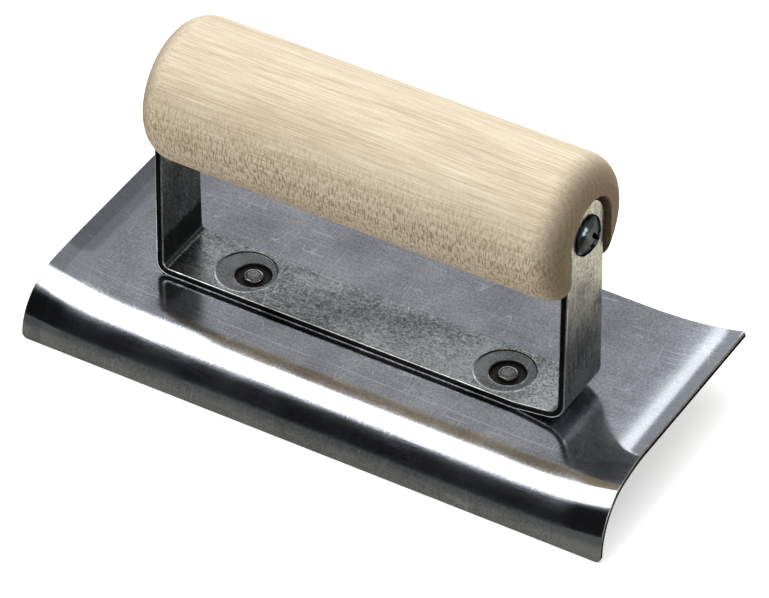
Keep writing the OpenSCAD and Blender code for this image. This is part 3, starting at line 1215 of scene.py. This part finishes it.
# Name, direction, width in metres and power in watts
SOFTBOXES = [
    ("key_softbox", (0.05, 0.42, 0.9), 0.9, 6.9),
    ("fill_softbox", (-0.25, -0.9, 0.22), 1.1, 7.6),
    ("bounce_softbox", (-0.2, -0.65, -0.7), 0.9, 3.6),
]
SOFTBOX_COLOUR = (1.0, 0.985, 0.96)
SOFTBOX_DISTANCE = 1.2

CAMERA_AZIMUTH = math.radians(30.621)
CAMERA_ELEVATION = math.radians(40.026)
CAMERA_AT = Vector((0.567125, -0.954504, 0.942153))
CAMERA_LENS = 299.3
CAMERA_SENSOR = 36.0


def floor_material():
    """Pale to the camera; where the object sees it, painted shade in front and painted light at the
    back; clear to the softbox below it.
    """
    made = bpy.data.materials.new("pale_floor")
    made.use_nodes = True
    graph = Graph(made.node_tree)
    seen = graph.node("ShaderNodeBsdfDiffuse")
    seen.inputs["Color"].default_value = rgba(FLOOR_PALE)
    glow = graph.node("ShaderNodeEmission")
    glow.inputs["Strength"].default_value = FLOOR_GLOW
    pale = graph.node("ShaderNodeAddShader")
    graph.feed(pale.inputs[0], seen.outputs[0])
    graph.feed(pale.inputs[1], glow.outputs[0])
    place = graph.node("ShaderNodeTexCoord").outputs["Object"]
    # Painted shade in front of the object and painted light behind it, seen only in reflections and
    # bounced light
    back = graph.spread(graph.split(place)[1], *FLOOR_SHADE_CHANGE)
    painted_floor_shade = graph.node("ShaderNodeBsdfDiffuse")
    graph.feed(painted_floor_shade.inputs["Color"], graph.mix(back, rgba(FLOOR_FRONT_SHADE), rgba(FLOOR_BACK_LIGHT)))
    clear = graph.node("ShaderNodeBsdfTransparent")
    path = graph.node("ShaderNodeLightPath")
    solid = graph.choose(path.outputs["Is Camera Ray"], painted_floor_shade, pale)
    shader = graph.choose(path.outputs["Is Shadow Ray"], solid, clear)
    output = graph.node("ShaderNodeOutputMaterial")
    graph.feed(output.inputs["Surface"], shader.outputs[0])
    return made


def make_floor():
    """A pale floor at the height of the lip's lower edge."""
    corners = [(-1, -1), (1, -1), (1, 1), (-1, 1)]
    points = [(x * FLOOR_HALF, y * FLOOR_HALF, blade_lo.z * MM) for x, y in corners]
    mesh = bpy.data.meshes.new("floor")
    mesh.from_pydata(points, [], [(0, 1, 2, 3)])
    mesh.materials.append(floor_material())
    add_object("floor", mesh)


def lobe(graph, direction, toward, inner, outer):
    """1 within the angle inner of a direction, fading to 0 at the angle outer, in degrees."""
    axis = tuple(Vector(toward).normalized())
    near = graph.vector("DOT_PRODUCT", direction, axis)
    return graph.spread(near, math.cos(math.radians(outer)), math.cos(math.radians(inner)))


def side_card(graph, direction):
    """A level band of light on one side, sharp at its foot and soft at its top."""
    height = graph.split(direction)[2]
    foot = graph.spread(height, SIDE_CARD_FOOT, SIDE_CARD_FOOT + SIDE_CARD_EDGE)
    top = graph.spread(height, SIDE_CARD_TOP, SIDE_CARD_FOOT + SIDE_CARD_FULL)
    band = graph.times(foot, top)
    return graph.times(band, lobe(graph, direction, SIDE_CARD, *SIDE_CARD_SPREAD))


def studio_level(graph, direction):
    """How bright the studio is in a direction: the room, with its dark flags and cards of light."""
    level = ROOM_LEVEL
    for toward, inner, outer, strength in DARK_FLAGS:
        flag = lobe(graph, direction, toward, inner, outer)
        level = graph.times(level, graph.muladd(flag, -strength, 1.0))
    for toward, inner, outer, strength in LIGHT_CARDS:
        card = lobe(graph, direction, toward, inner, outer)
        level = graph.muladd(card, strength, level)
    return graph.muladd(side_card(graph, direction), SIDE_CARD_LEVEL, level)


def make_world():
    """The studio that the object reflects, and a plain pale backdrop for the camera."""
    world = bpy.data.worlds.new("studio")
    bpy.context.scene.world = world
    world.use_nodes = True
    graph = Graph(world.node_tree)
    direction = graph.node("ShaderNodeTexCoord").outputs["Generated"]
    path = graph.node("ShaderNodeLightPath")
    level = graph.math("MAXIMUM", studio_level(graph, direction), path.outputs["Is Camera Ray"])
    background = graph.node("ShaderNodeBackground")
    background.inputs["Color"].default_value = rgba(ROOM_COLOUR)
    graph.feed(background.inputs["Strength"], level)
    output = graph.node("ShaderNodeOutputWorld")
    graph.feed(output.inputs["Surface"], background.outputs[0])


def aim(name, data, at, back):
    """A light or camera at a place, with its back towards a direction."""
    made = add_object(name, data)
    made.location = at
    made.rotation_mode = "QUATERNION"
    made.rotation_quaternion = (-back).to_track_quat("-Z", "Y")
    return made


def make_softboxes():
    """Softboxes that light the wood. The one below the floor stands in for the table's bounce."""
    for name, toward, size, energy in SOFTBOXES:
        data = bpy.data.lights.new(name, "AREA")
        data.shape = "SQUARE"
        data.size = size
        data.energy = energy
        data.color = SOFTBOX_COLOUR
        away = Vector(toward).normalized()
        lamp = aim(name, data, away * SOFTBOX_DISTANCE, away)
        lamp.visible_glossy = False


def make_camera():
    """The camera. Its azimuth is from straight in front of the lip, to the right."""
    data = bpy.data.cameras.new("camera")
    data.lens = CAMERA_LENS
    data.sensor_width = CAMERA_SENSOR
    data.clip_start = 0.05
    data.clip_end = 20.0
    level = math.cos(CAMERA_ELEVATION)
    right = math.sin(CAMERA_AZIMUTH) * level
    front = -math.cos(CAMERA_AZIMUTH) * level
    back = Vector((right, front, math.sin(CAMERA_ELEVATION)))
    bpy.context.scene.camera = aim("camera", data, CAMERA_AT, back)


# ------------ the object


def settle(piece, node):
    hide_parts(node)
    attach(piece, "root")


# Dark and light colour, roughness, speckle, bump, scratches, scale of speckle, and forming marks with
# painted shade
STEELS = {
    "satin_blade_steel": (
        (0.32, 0.33, 0.36), (0.78, 0.79, 0.84), (0.12, 0.2), 2.0, 0.13, 0.75, 1.8, blade_marks_and_shade
    ),
    "grey_bracket_steel": (
        (0.09, 0.097, 0.095), (0.68, 0.695, 0.70), (0.2, 0.32), 2.8, 0.5, 0.5, 1.8, bracket_shade_and_streaks
    ),
    "pressed_pocket_steel": (
        (0.07, 0.077, 0.077), (0.40, 0.415, 0.415), (0.2, 0.32), 2.0, 0.4, 0.5, 1.8, None
    ),
    "stud_steel": ((0.12, 0.12, 0.13), (0.5, 0.5, 0.5), (0.12, 0.22), 2.4, 0.4, 0.2, 2.0, None),
    "sheared_edge_steel": (
        (0.004, 0.004, 0.004), (0.06, 0.06, 0.057), (0.35, 0.55), 1.6, 0.5, 0.1, 3.2, None
    ),
    # Edge roundings: their own worn brightness, with painted shade towards the back
    "worn_edge_steel_shaded_back": (
        (0.04, 0.04, 0.04), (0.95, 0.95, 0.95), (0.12, 0.22), 1.0, 0.3, 0.5, 1.8, edge_back_shade
    ),
}


def make_object():
    steels = [steel(name, *row) for name, row in STEELS.items()]
    blade_steel, bracket_steel, pocket_steel, stud_steel, sheared, worn_and_shaded = steels
    # dark is the painted shade for the holes and grooves round the studs
    dark = groove_shade()
    chrome = plated("dark_chrome", (0.02, 0.024, 0.027), (0.19, 0.21, 0.23), (0.04, 0.12))
    zinc = plated("zinc_plate", (0.4, 0.42, 0.43), (0.7, 0.71, 0.7), (0.14, 0.34))
    beech = [wood("turned_beech", cut_across=False), wood("beech_end_grain", cut_across=True)]
    bracket_materials = [bracket_steel, dark, sheared, worn_and_shaded, pocket_steel]
    settle(make_blade([blade_steel, sheared, worn_and_shaded]), "blade")
    settle(make_bracket(bracket_materials), "bracket")
    settle(make_stud("stud_left_nose", STUD_X[0], [stud_steel, dark]), "stud_left")
    settle(make_stud("stud_right_nose", STUD_X[1], [stud_steel, dark]), "stud_right")
    settle(make_handle(beech), "handle")
    settle(make_bolt([chrome]), "tie_bolt")
    settle(make_washer([zinc]), "washer")
    settle(make_nut([zinc]), "nut")


bpy.context.scene.view_settings.view_transform = "Standard"
make_camera()
make_floor()
make_world()
make_softboxes()
make_object()
